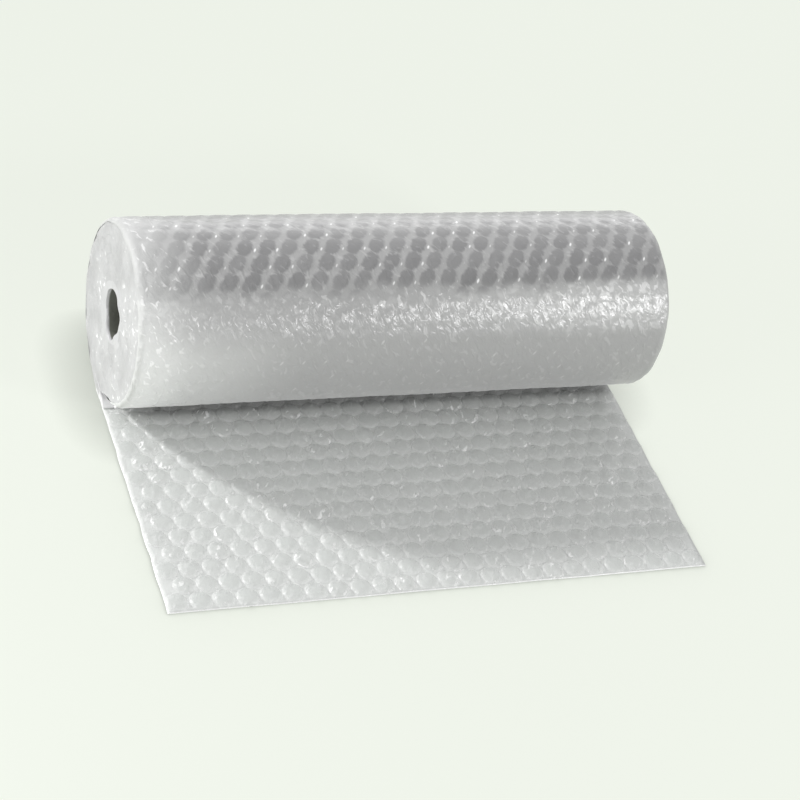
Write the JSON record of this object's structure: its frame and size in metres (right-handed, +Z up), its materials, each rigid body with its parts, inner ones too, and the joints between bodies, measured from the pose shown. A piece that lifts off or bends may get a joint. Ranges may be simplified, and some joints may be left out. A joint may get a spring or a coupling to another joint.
{
  "type": "bubble film roll",
  "caption": "Roll of clear cushioning film lying on its side, its loose end rolled out flat with the bubbles up and a round hole through the middle.",
  "frame": {"origin": "on the surface that the roll rests on, below the middle of the roll's axis", "axes": "+X along the roll, +Z up, -Y the way the loose end is rolled out"},
  "size_m": [0.3, 0.2073, 0.102],
  "materials": {
    "bubble_film": "clear polyethylene film, milky where many layers lie on each other"
  },
  "bodies": {
    "root": {"bubble_film_roll": "bubble_film"}
  },
  "joints": []
}
